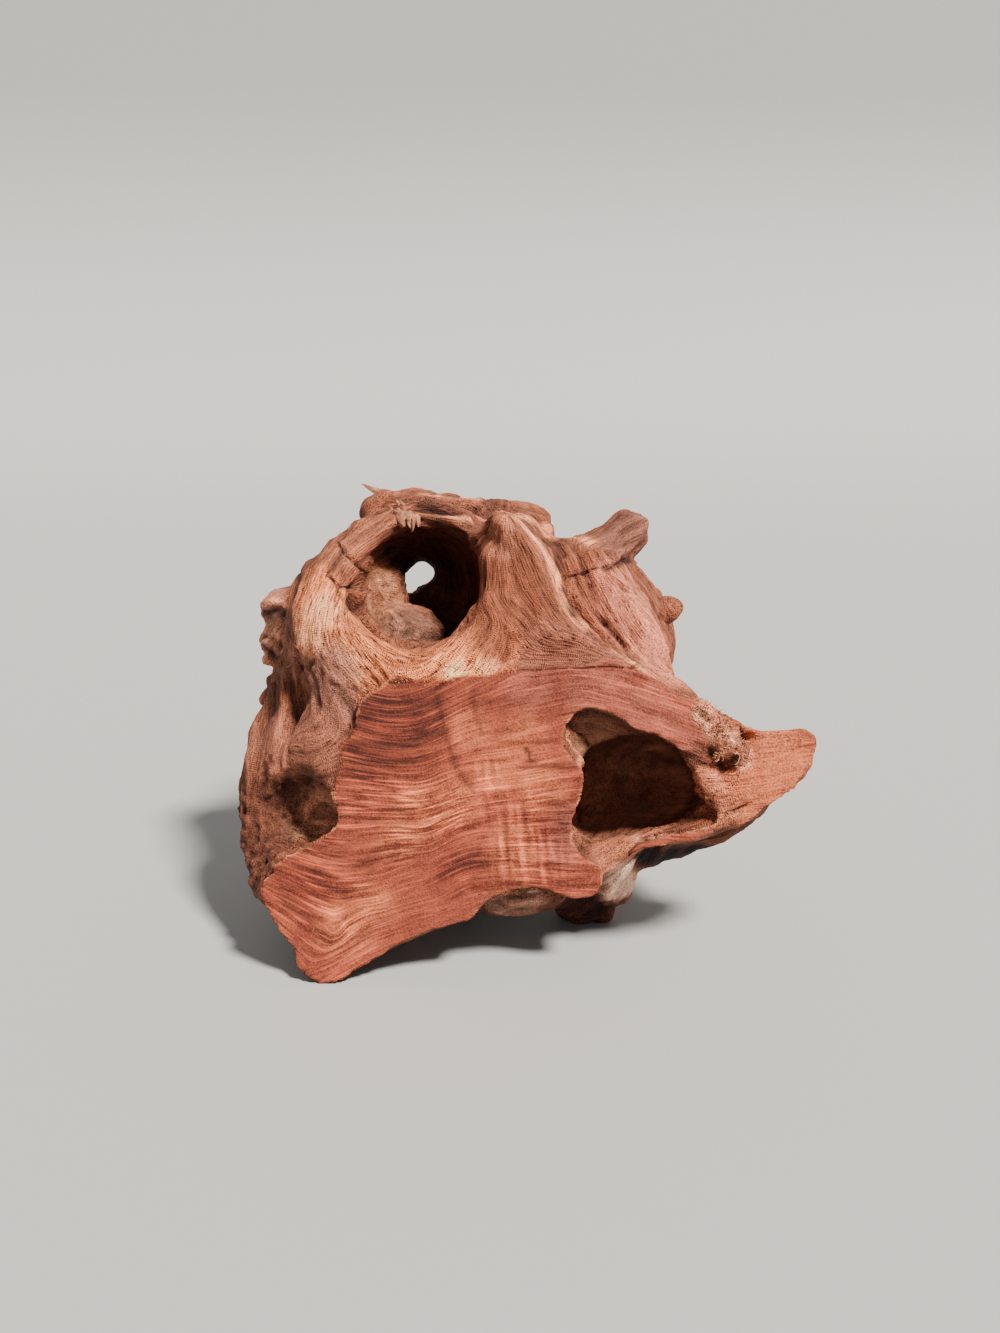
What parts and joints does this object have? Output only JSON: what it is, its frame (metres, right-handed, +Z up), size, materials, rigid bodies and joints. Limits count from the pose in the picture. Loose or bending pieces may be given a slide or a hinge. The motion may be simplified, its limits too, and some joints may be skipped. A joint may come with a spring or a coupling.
{
  "type": "driftwood piece",
  "caption": "Knotty piece of red driftwood with one sawn flat face, a big round hole, a deep side pocket, a blunt horn and a beak-like spur.",
  "frame": {"origin": "centre of the bounding box at floor level, where the piece stands on its three feet", "axes": "+Z up; -Y towards the sawn face, which leans back 15 degrees from upright; +X towards the beak at the right of the sawn face, the longest way across"},
  "size_m": [0.1556, 0.1168, 0.1173],
  "materials": {
    "weathered_wood": "dry weathered red-brown wood, rough, with a fine-sawn face"
  },
  "bodies": {
    "root": {"driftwood": "weathered_wood"}
  },
  "joints": []
}
